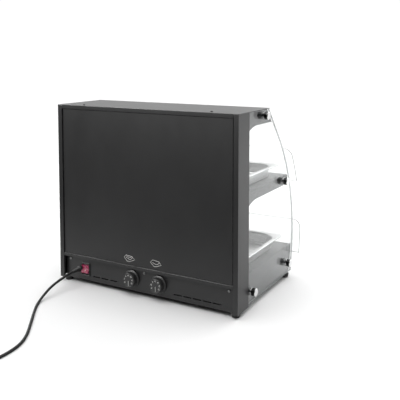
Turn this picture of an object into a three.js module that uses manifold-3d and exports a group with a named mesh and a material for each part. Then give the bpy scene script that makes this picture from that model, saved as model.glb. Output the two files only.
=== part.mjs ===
// Counter-top hot food display case: two heated decks between clear side panels, open at the
// front above low clear guards, with its switch and thermostats in a strip along the rear.
// Millimetres, +Z up. The customer's side faces -Y and the operator's side faces +Y.
import * as THREE from 'three';
import { mergeVertices } from 'three/addons/utils/BufferGeometryUtils.js';
import Module from 'manifold-3d';

const wasm = await Module();
wasm.setup();

// ---- driving dimensions -------------------------------------------------------------------
const WIDTH = 571;
const BODY_HEIGHT = 500;
const FOOT_HEIGHT = 12;
const SHEET = 1.5;
const GAP = 0.3;
const POST_DEPTH = 62;
const GLASS = 5;
const CHEEK = 2;

// Layers of each side, outwards from the decks: cheek, clear panel, post.
const CHEEK_INNER = 276.2;
const GLASS_INNER = CHEEK_INNER + CHEEK + GAP;
const GLASS_OUTER = GLASS_INNER + GLASS;
const POST_LIP = GLASS_INNER + 0.1;
const POST_FLANGE = 272;
const INNER_HALF = CHEEK_INNER - GAP;

// The front edge of the side panels: a wide arc that runs into a straight sloping line.
const ARC_RADIUS = 444;
const ARC_CENTRE = { y: 70, z: 120 };
const ARC_TOP_ANGLE = THREE.MathUtils.degToRad(41);

// Heights of the three tiers above the underside of the posts, and the depths of their parts.
const BASE_BOTTOM = 5;
const BASE_TOP = 83;
const SHELF_BOTTOM = 268;
const SHELF_TOP = 296;
const SHELF_FRONT = -336.8;
const CANOPY_BOTTOM = 460;
const INNER_REAR = -10.5;
const CHEEK_REAR = -3;
const SPINE_FRONT = -45;
const COVER_DEPTH = 192;
const FASCIA_FOOT = { y: -354, z: BASE_BOTTOM };
const FASCIA_HEAD = { y: -366, z: BASE_TOP };

// The control strip, set back from the rear faces of the posts.
const STRIP_FACE = -12;
const RAIL_BOTTOM = 64;
const RAIL_TOP = 72;
const RAIL_RETURN = -9;
const STRIP_HALF = 271.2;
const PANEL_FACE = -3;
const PANEL_HALF = 269;
const PANEL_BOTTOM = 73;
const COVER_LIP_BOTTOM = 489;

// Controls: x and z of their centres, seen on the strip.
const DIAL_HEIGHT = 33.5;
const UPPER_DIAL_X = 40;
const LOWER_DIAL_X = -47;
const SWITCH = { x: 201.5, z: 31 };
const GLAND = { x: 226, z: 27 };
const STRIP_SCREWS = [256, 0, -256];
const STRIP_SCREW_HEIGHT = 54.5;
const VENT_HEIGHT = 14;
const VENT_LENGTH = 24;
const VENT_TALL = 2.8;
const VENT_GROUPS = [{ first: 163, pitch: 29.5, count: 3 }, { first: -105, pitch: 29.2, count: 5 }];

// Fasteners of the clear side panels: y and z of each.
const PANEL_NUTS = {
  top: { y: -154, z: 483 },
  middle: { y: -294, z: 284 },
  base_front: { y: -321, z: 40 },
  base_rear: { y: -81, z: 35 },
};
const COVER_SCREWS = { x: 203, y: -16 };
const SCREW_SHANK = 1.7;
const STUD_RADIUS = 3;
const STUD_HOLE = 3.5;
const NUT_RADIUS = 10.5;
const NUT_LENGTH = 15;

// Front guards stand on the front edges of the side panels and overhang them.
const GUARD_CLEAR = 1;
const GUARD_THICK = 4;
const GUARD_HALF = WIDTH / 2 + 18;
const GUARD_CORNER = 20;
const FASCIA_SLOPE = (FASCIA_HEAD.y - FASCIA_FOOT.y) / (FASCIA_HEAD.z - FASCIA_FOOT.z);
const LOWER_BOLT_HEIGHT = 71;
const GUARDS = {
  upper: { from: 276, to: 377, bolt: 284, fascia: SHELF_FRONT },
  lower: {
    from: 58, to: 155, bolt: LOWER_BOLT_HEIGHT,
    fascia: FASCIA_FOOT.y + FASCIA_SLOPE * (LOWER_BOLT_HEIGHT - FASCIA_FOOT.z),
  },
};
const GUARD_BOLTS = [-190, 190];

// Food trays.
const TRAY = { halfX: 266, halfY: 137.5, height: 32, rim: 13, sheet: 1.2, corner: 50 };
const UPPER_TRAY_FRONT = -316;
const LOWER_TRAY_FRONT = -341;

// Where the whole case stands in the part's own frame.
const KNOB_HEIGHT = 19;
const GUARD_FRONT = ARC_CENTRE.y - ARC_RADIUS - GUARD_CLEAR - GUARD_THICK;
const CASE_SHIFT = -(STRIP_FACE + KNOB_HEIGHT + GUARD_FRONT) / 2;

// ---- materials ----------------------------------------------------------------------------
function paint(color, roughness, metalness) {
  return new THREE.MeshStandardMaterial({ color, roughness, metalness });
}

const blackCoat = () => paint('#2b2b2b', 0.5, 0.1);
const blackPlastic = () => paint('#1b1b1b', 0.5, 0);
const darkRubber = () => paint('#151515', 0.9, 0);
const stainless = () => paint('#b9bbbd', 0.28, 1);
const polished = () => paint('#d8d8d8', 0.12, 1);
const redLens = () => paint('#b8204a', 0.25, 0);
const ceramicWhite = () => paint('#e4e0d6', 0.7, 0);
const brass = () => paint('#b59a58', 0.35, 1);

function clearSheet() {
  const material = paint('#eef4f4', 0.05, 0);
  material.transparent = true;
  material.opacity = 0.2;
  return material;
}

// ---- solids: from three.js geometry to manifold and back -------------------------------------
function toSolid(geometry, matrix = new THREE.Matrix4()) {
  const bare = geometry.clone().applyMatrix4(matrix);
  bare.deleteAttribute('normal');
  bare.deleteAttribute('uv');
  const merged = mergeVertices(bare, 1e-4);
  return new wasm.Manifold(new wasm.Mesh({
    numProp: 3,
    vertProperties: new Float32Array(merged.attributes.position.array),
    triVerts: new Uint32Array(merged.index.array),
  }));
}

function toGeometry(solid) {
  const mesh = solid.getMesh();
  const geometry = new THREE.BufferGeometry();
  geometry.setAttribute('position', new THREE.BufferAttribute(mesh.vertProperties, 3));
  geometry.setIndex(new THREE.BufferAttribute(mesh.triVerts, 1));
  geometry.computeVertexNormals();
  return geometry;
}

function boxBetween(low, high) {
  const size = new THREE.Vector3().subVectors(high, low);
  const geometry = new THREE.BoxGeometry(size.x, size.y, size.z);
  return geometry.translate(low.x + size.x / 2, low.y + size.y / 2, low.z + size.z / 2);
}

function box(x0, x1, y0, y1, z0, z1) {
  return boxBetween(new THREE.Vector3(x0, y0, z0), new THREE.Vector3(x1, y1, z1));
}

// A round bar along one axis, for holes and collars.
function bar(radius, length, axis, centre, sides = 20) {
  const geometry = new THREE.CylinderGeometry(radius, radius, length, sides);
  if (axis === 'x') geometry.rotateZ(Math.PI / 2);
  if (axis === 'z') geometry.rotateX(Math.PI / 2);
  return geometry.translate(centre.x, centre.y, centre.z);
}

// Turns a profile of [radius, along] points about the Y axis, then places it.
function turned(profile, segments, place) {
  const points = profile.map(([radius, along]) => new THREE.Vector2(radius, along));
  const geometry = new THREE.LatheGeometry(points, segments);
  return geometry.applyMatrix4(place);
}

function at(x, y, z, turn = new THREE.Euler()) {
  const rotation = new THREE.Quaternion().setFromEuler(turn);
  return new THREE.Matrix4().compose(new THREE.Vector3(x, y, z), rotation, new THREE.Vector3(1, 1, 1));
}

// Extrudes an outline of (y, z) points along X, from x0 to x1.
function alongX(outline, x0, x1) {
  const shape = new THREE.Shape(outline.map(([y, z]) => new THREE.Vector2(y, z)));
  const geometry = new THREE.ExtrudeGeometry(shape, { depth: x1 - x0, bevelEnabled: false });
  const axes = new THREE.Matrix4().makeBasis(
    new THREE.Vector3(0, 1, 0),
    new THREE.Vector3(0, 0, 1),
    new THREE.Vector3(1, 0, 0),
  );
  return geometry.applyMatrix4(axes).translate(x0, 0, 0);
}

function cut(geometry, tools) {
  let solid = toSolid(geometry);
  for (const tool of tools) solid = solid.subtract(toSolid(tool));
  return toGeometry(solid);
}

function join(geometries) {
  let solid = toSolid(geometries[0]);
  for (const geometry of geometries.slice(1)) solid = solid.add(toSolid(geometry));
  return toGeometry(solid);
}

// ---- the scene graph ---------------------------------------------------------------------
const group = new THREE.Group();
const displayCase = new THREE.Group();
displayCase.position.set(0, CASE_SHIFT, FOOT_HEIGHT);
group.add(displayCase);

function addPiece(name, geometry, material, parent = displayCase) {
  const mesh = new THREE.Mesh(geometry, material);
  mesh.name = name;
  parent.add(mesh);
}

// ---- the front curve ---------------------------------------------------------------------
function arcPoint(angle, offset = 0) {
  const radius = ARC_RADIUS + offset;
  return [ARC_CENTRE.y - radius * Math.cos(angle), ARC_CENTRE.z + radius * Math.sin(angle)];
}

function arcAngle(z, offset = 0) {
  return Math.asin((z - ARC_CENTRE.z) / (ARC_RADIUS + offset));
}

// Points of the arc between two heights, from the lower to the upper.
function arcBetween(z0, z1, offset, steps) {
  const from = arcAngle(z0, offset);
  const to = arcAngle(z1, offset);
  return Array.from({ length: steps + 1 }, (_, i) => arcPoint(from + ((to - from) * i) / steps, offset));
}

// The straight slope above the arc, at height z.
function slopePoint(z, offset = 0) {
  const [y0, z0] = arcPoint(ARC_TOP_ANGLE, offset);
  return [y0 + (z - z0) * Math.tan(ARC_TOP_ANGLE), z];
}

// ---- frame ---------------------------------------------------------------------------------
// A folded post. Above the control strip its rear flange returns behind the rear panel's edge.
function sidePost(side) {
  const outer = WIDTH / 2;
  const web = outer - SHEET;
  const rebate = PANEL_FACE - SHEET - 0.5;
  const rebateEnd = PANEL_HALF - 6;
  const section = [
    [outer, 0], [POST_FLANGE, 0], [POST_FLANGE, rebate], [rebateEnd, rebate], [rebateEnd, rebate - SHEET],
    [POST_FLANGE + SHEET, rebate - SHEET], [POST_FLANGE + SHEET, -SHEET], [web, -SHEET],
    [web, SHEET - POST_DEPTH], [POST_LIP, SHEET - POST_DEPTH], [POST_LIP, -POST_DEPTH], [outer, -POST_DEPTH],
  ];
  const shape = new THREE.Shape(section.map(([x, y]) => new THREE.Vector2(side * x, y)));
  const depth = BODY_HEIGHT - SHEET - GAP;
  const post = new THREE.ExtrudeGeometry(shape, { depth, bevelEnabled: false });
  const ends = [side * (rebateEnd - 1), side * POST_FLANGE].sort((a, b) => a - b);
  return cut(post, [box(...ends, rebate - 3, rebate + 1, -1, RAIL_TOP + 0.5)]);
}

// Quarter-round gusset below an arm: from the arm's underside down to the spine's front edge.
function gusset(underside) {
  const radius = 110;
  const start = SPINE_FRONT - 80;
  const steps = 14;
  const sweep = Math.asin((SPINE_FRONT - start) / radius);
  return Array.from({ length: steps + 1 }, (_, i) => {
    const angle = (sweep * i) / steps;
    return [start + radius * Math.sin(angle), underside - radius * (1 - Math.cos(angle))];
  });
}

function roundedCorner(centreY, centreZ, radius, from, to, steps = 6) {
  return Array.from({ length: steps + 1 }, (_, i) => {
    const angle = THREE.MathUtils.degToRad(from + ((to - from) * i) / steps);
    return [centreY + radius * Math.cos(angle), centreZ + radius * Math.sin(angle)];
  });
}

// The inner side plate: a spine with the base, a shelf arm and a canopy arm on it.
function cheekOutline() {
  const inset = 3;
  const shelfFront = SHELF_FRONT - GAP;
  const radius = 6;
  return [
    [CHEEK_REAR, BASE_BOTTOM],
    [CHEEK_REAR, BODY_HEIGHT - SHEET - 2 * GAP],
    slopePoint(BODY_HEIGHT - SHEET - 2 * GAP, -inset),
    slopePoint(CANOPY_BOTTOM, -inset),
    ...gusset(CANOPY_BOTTOM),
    ...roundedCorner(SPINE_FRONT - radius, SHELF_TOP + radius, radius, 0, -90),
    ...roundedCorner(shelfFront + radius, SHELF_TOP - radius, radius, 90, 180),
    [shelfFront, SHELF_BOTTOM],
    ...gusset(SHELF_BOTTOM),
    ...roundedCorner(SPINE_FRONT - radius, BASE_TOP + radius, radius, 0, -90),
    ...arcBetween(BASE_BOTTOM, BASE_TOP, -inset, 8).reverse(),
  ];
}

function nutHoles(x) {
  return Object.values(PANEL_NUTS).map(({ y, z }) => bar(STUD_HOLE, 20, 'x', { x, y, z }, 16));
}

function cheek(side) {
  const inner = side > 0 ? CHEEK_INNER : -CHEEK_INNER - CHEEK;
  const plate = alongX(cheekOutline(), inner, inner + CHEEK);
  return cut(plate, nutHoles(inner + CHEEK / 2));
}

function sideGlass(side) {
  const top = BODY_HEIGHT - SHEET - 2 * GAP;
  const rear = -POST_DEPTH - 0.4;
  const outline = [
    [rear, 3],
    [rear, top],
    slopePoint(top),
    ...arcBetween(6, arcPoint(ARC_TOP_ANGLE)[1], 0, 24).reverse(),
  ];
  const inner = side > 0 ? GLASS_INNER : -GLASS_OUTER;
  return cut(alongX(outline, inner, inner + GLASS), nutHoles(inner + GLASS / 2));
}

function rearPanel() {
  const top = COVER_LIP_BOTTOM - GAP - 0.2;
  return box(-PANEL_HALF, PANEL_HALF, PANEL_FACE - SHEET, PANEL_FACE, PANEL_BOTTOM, top);
}

// A flat cover with a narrow lip folded down over the rear panel's top edge.
function topCover() {
  const outer = WIDTH / 2;
  const lipHalf = POST_FLANGE - 0.6;
  const plate = box(-outer, outer, -COVER_DEPTH, 0, BODY_HEIGHT - SHEET, BODY_HEIGHT);
  const lip = box(-lipHalf, lipHalf, -SHEET, 0, COVER_LIP_BOTTOM, BODY_HEIGHT - SHEET / 2);
  const holes = [-COVER_SCREWS.x, COVER_SCREWS.x].map((x) => {
    return bar(SCREW_SHANK + GAP, 10, 'z', { x, y: COVER_SCREWS.y, z: BODY_HEIGHT });
  });
  return cut(join([plate, lip]), holes);
}

// A pan-head screw whose head lies on the face at height 0 and whose shank goes below it.
function panScrew(shankLength, place) {
  const profile = [
    [0, -shankLength], [SCREW_SHANK, -shankLength], [SCREW_SHANK, 0], [3.6, 0],
    [3.2, 1.6], [1.8, 2.2], [0, 2.3],
  ];
  return turned(profile, 16, place);
}

function coverScrew(x) {
  const upright = new THREE.Euler(Math.PI / 2, 0, 0);
  return panScrew(8, at(x, COVER_SCREWS.y, BODY_HEIGHT + 0.2, upright));
}

addPiece('left_post', sidePost(1), blackCoat());
addPiece('right_post', sidePost(-1), blackCoat());
addPiece('left_cheek', cheek(1), blackCoat());
addPiece('right_cheek', cheek(-1), blackCoat());
addPiece('rear_panel', rearPanel(), blackCoat());
addPiece('top_cover', topCover(), blackCoat());
addPiece('left_cover_screw', coverScrew(COVER_SCREWS.x), blackCoat());
addPiece('right_cover_screw', coverScrew(-COVER_SCREWS.x), blackCoat());
addPiece('left_side_panel', sideGlass(1), clearSheet());
addPiece('right_side_panel', sideGlass(-1), clearSheet());

// ---- canopy, shelf and base: folded sheets between the cheeks ---------------------------------
// A flat plate whose edge runs from one (y, z) point to another, of sheet thickness behind it.
function slantedPlate(foot, head) {
  const run = new THREE.Vector2(head.y - foot.y, head.z - foot.z).normalize().multiplyScalar(SHEET);
  const outline = [
    [foot.y, foot.z], [head.y, head.z], [head.y + run.y, head.z - run.x], [foot.y + run.y, foot.z - run.x],
  ];
  return alongX(outline, -INNER_HALF, INNER_HALF);
}

function boltHoles(guard) {
  return GUARD_BOLTS.map((x) => bar(2.8, 40, 'y', { x, y: guard.fascia, z: guard.bolt }, 14));
}

function addCanopy() {
  const [footY] = slopePoint(CANOPY_BOTTOM + 2, -4);
  const [headY] = slopePoint(BODY_HEIGHT - 4, -4);
  const bottom = box(-INNER_HALF, INNER_HALF, footY + 4, INNER_REAR, CANOPY_BOTTOM, CANOPY_BOTTOM + SHEET);
  addPiece('canopy_underside', bottom, blackCoat());
  const foot = { y: footY, z: CANOPY_BOTTOM + 2 };
  const head = { y: headY, z: BODY_HEIGHT - 4 };
  addPiece('canopy_fascia', slantedPlate(foot, head), blackCoat());
}

function addShelf() {
  const front = SHELF_FRONT + SHEET + GAP;
  const deck = box(-INNER_HALF, INNER_HALF, front, INNER_REAR, SHELF_TOP - SHEET, SHELF_TOP);
  addPiece('shelf_deck', deck, blackCoat());
  const floor = box(-INNER_HALF, INNER_HALF, front, INNER_REAR, SHELF_BOTTOM, SHELF_BOTTOM + SHEET);
  addPiece('shelf_underside', floor, blackCoat());
  const fascia = box(
    -INNER_HALF, INNER_HALF, SHELF_FRONT, SHELF_FRONT + SHEET, SHELF_BOTTOM, SHELF_TOP,
  );
  addPiece('shelf_fascia', cut(fascia, boltHoles(GUARDS.upper)), blackCoat());
}

function addBase() {
  const deckFront = FASCIA_HEAD.y + 2.2;
  const deck = box(-INNER_HALF, INNER_HALF, deckFront, INNER_REAR, BASE_TOP - SHEET, BASE_TOP);
  addPiece('base_deck', deck, blackCoat());
  const floorFront = FASCIA_FOOT.y + 2.5;
  const floorRear = STRIP_FACE - 2;
  const floor = box(-INNER_HALF, INNER_HALF, floorFront, floorRear, BASE_BOTTOM, BASE_BOTTOM + SHEET);
  const screws = footCentres().map(([x, y]) => bar(4.5, 10, 'z', { x, y, z: BASE_BOTTOM }, 16));
  addPiece('base_floor', cut(floor, screws), blackCoat());
  const fascia = slantedPlate(FASCIA_FOOT, FASCIA_HEAD);
  addPiece('base_fascia', cut(fascia, boltHoles(GUARDS.lower)), blackCoat());
}

// ---- feet ------------------------------------------------------------------------------------
function footCentres() {
  return [[270, -20], [-270, -20], [270, -345], [-270, -345]];
}

function addFeet() {
  const names = ['left_rear_foot', 'right_rear_foot', 'left_front_foot', 'right_front_foot'];
  const profile = [
    [0, -FOOT_HEIGHT], [9.5, -FOOT_HEIGHT], [10.5, -FOOT_HEIGHT + 1], [12, -2.3], [12, -GAP],
    [4, -GAP], [4, BASE_BOTTOM + 4], [0, BASE_BOTTOM + 4],
  ];
  const upright = new THREE.Euler(Math.PI / 2, 0, 0);
  footCentres().forEach(([x, y], i) => {
    addPiece(names[i], turned(profile, 24, at(x, y, 0, upright)), darkRubber());
  });
}

addCanopy();
addShelf();
addBase();
addFeet();

// ---- side panel fasteners: a polished cap nut with its stud ------------------------------------
function panelNut(side, { y, z }) {
  const start = GLASS_OUTER + GAP;
  const end = start + NUT_LENGTH;
  const studEnd = CHEEK_INNER + GAP;
  const profile = [
    [0, studEnd], [STUD_RADIUS, studEnd], [STUD_RADIUS, start], [NUT_RADIUS, start], [NUT_RADIUS, end - 1],
    [NUT_RADIUS - 1, end], [0, end],
  ];
  const turn = new THREE.Euler(0, 0, (-side * Math.PI) / 2);
  return turned(profile, 20, at(0, y, z, turn));
}

for (const [place, centre] of Object.entries(PANEL_NUTS)) {
  addPiece(`left_${place}_panel_nut`, panelNut(1, centre), polished());
  addPiece(`right_${place}_panel_nut`, panelNut(-1, centre), polished());
}

// ---- front guards and their bolts ------------------------------------------------------------
// A curved clear sheet with its two upper corners rounded.
function frontGuard({ from, to, bolt, fascia }) {
  const inner = arcBetween(from, to, GUARD_CLEAR, 14);
  const outer = arcBetween(from, to, GUARD_CLEAR + GUARD_THICK, 14).reverse();
  const sheet = alongX([...inner, ...outer], -GUARD_HALF, GUARD_HALF);
  const face = new THREE.Shape();
  const round = GUARD_CORNER;
  face.moveTo(-GUARD_HALF, from - 1);
  face.lineTo(GUARD_HALF, from - 1);
  face.lineTo(GUARD_HALF, to - round);
  face.absarc(GUARD_HALF - round, to - round, round, 0, Math.PI / 2, false);
  face.lineTo(round - GUARD_HALF, to);
  face.absarc(round - GUARD_HALF, to - round, round, Math.PI / 2, Math.PI, false);
  const blank = new THREE.ExtrudeGeometry(face, { depth: 600, bevelEnabled: false, curveSegments: 8 });
  blank.rotateX(Math.PI / 2).translate(0, 100, 0);
  let solid = toSolid(sheet).intersect(toSolid(blank));
  for (const hole of boltHoles({ bolt, fascia })) solid = solid.subtract(toSolid(hole));
  return toGeometry(solid);
}

// A bolt with a spacer collar between fascia and guard, and a low round head in front.
function guardBolt({ bolt, fascia }, x) {
  const [sheetRear] = arcPoint(arcAngle(bolt, GUARD_CLEAR), GUARD_CLEAR);
  const slope = Math.abs(Math.tan(arcAngle(bolt)));
  const collar = 6;
  const shank = 2.4;
  const collarEnd = Math.max(sheetRear + collar * slope + 0.5, fascia - 12);
  const headRear = sheetRear - GUARD_THICK / Math.cos(arcAngle(bolt)) - collar * slope - 0.5;
  const profile = [
    [0, fascia + 5], [shank, fascia + 5], [shank, fascia - 1.2], [collar, fascia - 1.2],
    [collar, collarEnd], [shank, collarEnd], [shank, headRear], [collar, headRear],
    [collar - 1, headRear - 2.2], [0, headRear - 2.6],
  ];
  return turned(profile.reverse(), 16, at(x, 0, bolt));
}

for (const [tier, guard] of Object.entries(GUARDS)) {
  addPiece(`${tier}_front_guard`, frontGuard(guard), clearSheet());
  addPiece(`${tier}_guard_left_bolt`, guardBolt(guard, GUARD_BOLTS[1]), polished());
  addPiece(`${tier}_guard_right_bolt`, guardBolt(guard, GUARD_BOLTS[0]), polished());
}

// ---- food trays --------------------------------------------------------------------------------
function roundedRing(halfX, halfY, radius, z) {
  const steps = 6;
  const points = [];
  for (const [sx, sy, start] of [[1, 1, 0], [-1, 1, 90], [-1, -1, 180], [1, -1, 270]]) {
    for (let i = 0; i <= steps; i += 1) {
      const angle = THREE.MathUtils.degToRad(start + (90 * i) / steps);
      const x = sx * (halfX - radius) + radius * Math.cos(angle);
      const y = sy * (halfY - radius) + radius * Math.sin(angle);
      points.push([x, y, z]);
    }
  }
  return points;
}

// Closes a stack of rings into one solid, with a fan at its first and last ring.
function stackRings(rings) {
  const count = rings[0].length;
  const positions = rings.flat(2);
  const index = [];
  rings.slice(1).forEach((_, level) => {
    for (let i = 0; i < count; i += 1) {
      const next = (i + 1) % count;
      const a = level * count + i;
      const b = level * count + next;
      index.push(a, b, b + count, a, b + count, a + count);
    }
  });
  for (const [level, flip] of [[0, true], [rings.length - 1, false]]) {
    const centre = positions.length / 3;
    positions.push(0, 0, rings[level][0][2]);
    for (let i = 0; i < count; i += 1) {
      const a = level * count + i;
      const b = level * count + ((i + 1) % count);
      index.push(...(flip ? [b, a, centre] : [a, b, centre]));
    }
  }
  const geometry = new THREE.BufferGeometry();
  geometry.setAttribute('position', new THREE.Float32BufferAttribute(positions, 3));
  geometry.setIndex(index);
  geometry.computeVertexNormals();
  return geometry;
}

// A shallow pressed tray with a flat rim, as a thin shell.
function tray(front, deck) {
  const { halfX, halfY, height, rim, sheet, corner } = TRAY;
  const draft = 3;
  const wall = (inset, radius, z) => roundedRing(halfX - inset, halfY - inset, radius, z);
  const rings = [
    wall(rim + draft + 6, corner - 8, 0),
    wall(rim + draft, corner - 3, 5),
    wall(rim - sheet, corner + sheet, height - sheet),
    wall(0, 16, height - sheet),
    wall(0, 16, height),
    wall(rim, corner, height),
    wall(rim + draft + sheet, corner - 4, 5 + sheet),
    wall(rim + draft + 6 + sheet, corner - 9, sheet),
  ];
  return stackRings(rings).translate(0, front + halfY, deck + GAP);
}

addPiece('upper_tray', tray(UPPER_TRAY_FRONT, SHELF_TOP), stainless());
addPiece('lower_tray', tray(LOWER_TRAY_FRONT, BASE_TOP), stainless());

// ---- heating elements: one serpentine rod below each deck ---------------------------------------
const ELEMENT = { radius: 4, half: 190, runs: 4, pitch: 62, steps: 56 };

function serpentine(height, centreY) {
  const { half, runs, pitch } = ELEMENT;
  const bend = pitch / 2;
  const points = [];
  for (let i = 0; i < runs; i += 1) {
    const y = centreY + (i - (runs - 1) / 2) * pitch;
    const side = i % 2 === 0 ? 1 : -1;
    for (const x of [-side * half, 0, side * half]) points.push(new THREE.Vector3(x, y, height));
    if (i === runs - 1) break;
    for (const degrees of [-60, -30, 0, 30, 60]) {
      const angle = THREE.MathUtils.degToRad(degrees);
      const x = side * (half + bend * Math.cos(angle));
      points.push(new THREE.Vector3(x, y + bend + bend * Math.sin(angle), height));
    }
  }
  const path = new THREE.CatmullRomCurve3(points, false, 'centripetal');
  return rod(path, ELEMENT.radius, 6, ELEMENT.steps);
}

function rod(curve, radius, sides, steps) {
  const section = new THREE.Shape();
  for (let i = 0; i < sides; i += 1) {
    const angle = (2 * Math.PI * i) / sides;
    const x = radius * Math.cos(angle);
    const y = radius * Math.sin(angle);
    if (i === 0) section.moveTo(x, y);
    else section.lineTo(x, y);
  }
  return new THREE.ExtrudeGeometry(section, { extrudePath: curve, steps, bevelEnabled: false });
}

addPiece('shelf_heating_element', serpentine(SHELF_TOP - 8, -175), stainless());
addPiece('base_heating_element', serpentine(BASE_TOP - 9, -200), stainless());

// ---- control strip ------------------------------------------------------------------------------
function ventSlots() {
  const slots = [];
  for (const { first, pitch, count } of VENT_GROUPS) {
    for (let i = 0; i < count; i += 1) {
      const x = first - i * pitch;
      const tall = VENT_TALL / 2;
      const half = VENT_LENGTH / 2;
      slots.push(box(x - half, x + half, -20, -5, VENT_HEIGHT - tall, VENT_HEIGHT + tall));
    }
  }
  return slots;
}

// The strip is folded outwards into a rail along its top edge.
function controlStrip() {
  const outline = [
    [STRIP_FACE, 0], [STRIP_FACE, RAIL_BOTTOM], [0, RAIL_BOTTOM], [0, RAIL_TOP], [RAIL_RETURN, RAIL_TOP],
    [RAIL_RETURN, RAIL_TOP - SHEET], [-SHEET, RAIL_TOP - SHEET], [-SHEET, RAIL_BOTTOM + SHEET],
    [STRIP_FACE - SHEET, RAIL_BOTTOM + SHEET], [STRIP_FACE - SHEET, 0],
  ];
  const round = (x, z, radius) => bar(radius, 10, 'y', { x, y: STRIP_FACE, z }, 20);
  const { x, z } = SWITCH;
  return cut(alongX(outline, -STRIP_HALF, STRIP_HALF), [
    ...ventSlots(),
    ...STRIP_SCREWS.map((screwX) => round(screwX, STRIP_SCREW_HEIGHT, 2)),
    round(UPPER_DIAL_X, DIAL_HEIGHT, 5.6),
    round(LOWER_DIAL_X, DIAL_HEIGHT, 5.6),
    round(GLAND.x, GLAND.z, 6.6),
    box(x - 13.8, x + 13.8, -20, -5, z - 16.3, z + 16.3),
  ]);
}

function stripScrew(x) {
  return panScrew(8, at(x, STRIP_FACE + GAP, STRIP_SCREW_HEIGHT));
}

// Fixed thermostat body with a collar through the strip and a bore for its shaft.
function thermostat(x) {
  const rear = STRIP_FACE - SHEET - GAP;
  const collarEnd = STRIP_FACE + 0.6;
  const boreDepth = 24;
  const body = box(x - 17, x + 17, rear - 32, rear, DIAL_HEIGHT - 20, DIAL_HEIGHT + 20);
  const collar = bar(5.2, collarEnd - rear + 2, 'y', { x, y: (collarEnd + rear) / 2 - 1, z: DIAL_HEIGHT });
  const bore = bar(3.4, 2 * boreDepth, 'y', { x, y: rear, z: DIAL_HEIGHT });
  return cut(join([body, collar]), [bore]);
}

function thermostatShaft(x) {
  const length = 30;
  return bar(3, length, 'y', { x, y: STRIP_FACE + 9 - length / 2, z: DIAL_HEIGHT }, 16);
}

// A skirted dial: a wide skirt against the strip and a slightly tapered grip.
function dial(x) {
  const base = STRIP_FACE + 1.2;
  const face = STRIP_FACE + KNOB_HEIGHT;
  const profile = [
    [3.4, base], [24, base], [24, base + 2.2], [22.5, base + 3.4], [20.2, base + 4], [19.2, face - 1.4],
    [18, face], [0, face], [0, face - 8], [3.4, face - 8], [3.4, base],
  ];
  return turned(profile, 28, at(x, 0, DIAL_HEIGHT));
}

// The switch's fixed housing: a bezel on the strip and a body behind it, hollow for the rocker.
function switchHousing() {
  const { x, z } = SWITCH;
  const face = STRIP_FACE + GAP;
  const bezel = box(x - 15.2, x + 15.2, face, face + 2.6, z - 18.5, z + 18.5);
  const body = box(x - 13.4, x + 13.4, face - 30, face + 1, z - 15.9, z + 15.9);
  const pocket = box(x - 12.2, x + 12.2, face - 18, face + 5, z - 14.8, z + 14.8);
  return toGeometry(toSolid(join([bezel, body])).subtract(toSolid(pocket)));
}

// The rocker turns about an X axis; it is drawn level and then tipped to its "on" side.
const ROCKER_TILT = THREE.MathUtils.degToRad(10);
const ROCKER_PIVOT = { y: STRIP_FACE - 5, z: SWITCH.z };

function rocker() {
  const reach = 14.3;
  const ends = (from, to) => Array.from({ length: 5 }, (_, i) => {
    const angle = THREE.MathUtils.degToRad(from + ((to - from) * i) / 4);
    return [reach * Math.cos(angle), reach * Math.sin(angle)];
  });
  const outline = [[4.2, 0], ...ends(36, 90), [-6, 8], [-6, -8], ...ends(-90, -36)];
  const width = 23.6;
  const geometry = alongX(outline, -width / 2, width / 2);
  geometry.rotateX(ROCKER_TILT);
  return geometry.translate(SWITCH.x, ROCKER_PIVOT.y, ROCKER_PIVOT.z);
}

addPiece('control_strip', controlStrip(), blackCoat());
addPiece('left_strip_screw', stripScrew(STRIP_SCREWS[0]), polished());
addPiece('middle_strip_screw', stripScrew(STRIP_SCREWS[1]), polished());
addPiece('right_strip_screw', stripScrew(STRIP_SCREWS[2]), polished());
addPiece('upper_deck_thermostat', thermostat(UPPER_DIAL_X), blackPlastic());
addPiece('lower_deck_thermostat', thermostat(LOWER_DIAL_X), blackPlastic());
addPiece('upper_deck_shaft', thermostatShaft(UPPER_DIAL_X), brass());
addPiece('lower_deck_shaft', thermostatShaft(LOWER_DIAL_X), brass());
addPiece('upper_deck_dial', dial(UPPER_DIAL_X), blackPlastic());
addPiece('lower_deck_dial', dial(LOWER_DIAL_X), blackPlastic());
addPiece('switch_housing', switchHousing(), blackPlastic());
addPiece('switch_rocker', rocker(), redLens());
addPiece('terminal_block', box(186, 222, -70, -50, BASE_BOTTOM + 2, 26), ceramicWhite());

// ---- mains lead -----------------------------------------------------------------------------------
const LEAD_RADIUS = 3.5;
const RELIEF_LENGTH = 28;

// Strain relief: a collar inside, a flange outside, and a long taper over the lead.
function strainRelief() {
  const rear = STRIP_FACE - SHEET - GAP;
  const face = STRIP_FACE + GAP;
  const tip = face + RELIEF_LENGTH;
  const profile = [
    [0, rear - 5], [8.8, rear - 5], [8.8, rear], [6.2, rear], [6.2, face], [8.8, face],
    [8.8, face + 2.5], [6.6, face + 4], [4.6, tip], [0, tip],
  ];
  return turned(profile, 20, at(GLAND.x, 0, GLAND.z));
}

addPiece('strain_relief', strainRelief(), darkRubber());

// Points of the lead in the part's own frame, from the strain relief to the coil.
const LEAD_POINTS = [
  [226, 202.6, 39], [226, 212, 38.4], [226, 226, 36.8], [226, 244, 34.4],
  [226, 262, 31.4], [226, 280, 27.4], [225.6, 298, 22], [224.6, 314, 15.6],
  [222.4, 330, 9.4], [218, 345, 5], [210.5, 360, 3.6], [200, 376, 3.5],
  [187, 394, 3.5], [172, 414, 3.5], [155, 436, 3.5], [137, 460, 3.5], [119, 484, 3.5], [103, 508, 3.5],
  [90, 533, 3.5], [81.8, 559, 3.5], [78.6, 586, 3.5], [78.8, 608, 3.5], [80.2, 629, 3.5],
];

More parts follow.
